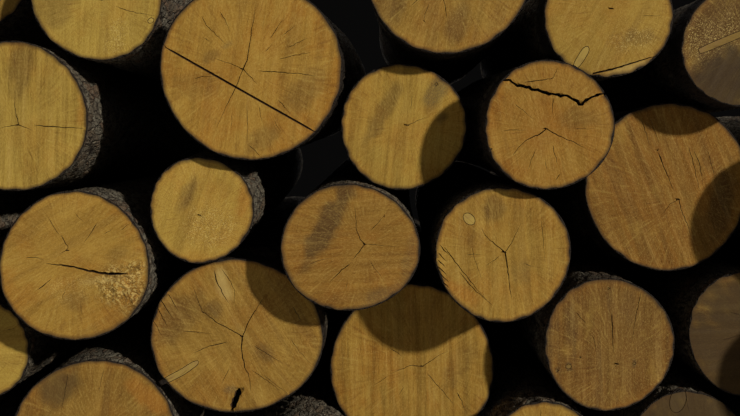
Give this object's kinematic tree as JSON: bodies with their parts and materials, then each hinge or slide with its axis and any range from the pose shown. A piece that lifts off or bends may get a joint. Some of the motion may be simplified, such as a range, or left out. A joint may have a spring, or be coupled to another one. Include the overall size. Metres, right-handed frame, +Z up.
{
  "type": "stack of logs",
  "caption": "Stack of freshly sawn round softwood logs lying parallel in pockets of one another, with bark on and bare sawn ends at the front.",
  "frame": {"origin": "on the floor, under the middle of the whole stack's box", "axes": "+Z up, the logs run along Y with their seen sawn ends towards -Y, +X to the right of someone looking at those ends"},
  "size_m": [2.4966, 2.292, 1.0622],
  "materials": {
    "log_wood": "matte"
  },
  "bodies": {
    "root": {"log_1a": "log_wood", "log_1b": "log_wood", "log_1c": "log_wood", "log_1d": "log_wood", "log_1e": "log_wood", "log_1f": "log_wood", "log_1g": "log_wood", "log_1h": "log_wood", "log_1i": "log_wood", "log_2a": "log_wood", "log_2b": "log_wood", "log_2c": "log_wood", "log_2d": "log_wood", "log_2e": "log_wood", "log_2f": "log_wood", "log_2g": "log_wood", "log_2h": "log_wood", "log_3a": "log_wood", "log_3b": "log_wood", "log_3c": "log_wood", "log_3d": "log_wood", "log_3e": "log_wood", "log_3f": "log_wood", "log_3g": "log_wood", "log_3h": "log_wood", "log_4a": "log_wood", "log_4b": "log_wood", "log_4c": "log_wood", "log_4d": "log_wood", "log_4e": "log_wood", "log_5a": "log_wood", "log_5b": "log_wood", "log_5c": "log_wood", "log_5d": "log_wood", "log_5e": "log_wood"}
  },
  "joints": []
}
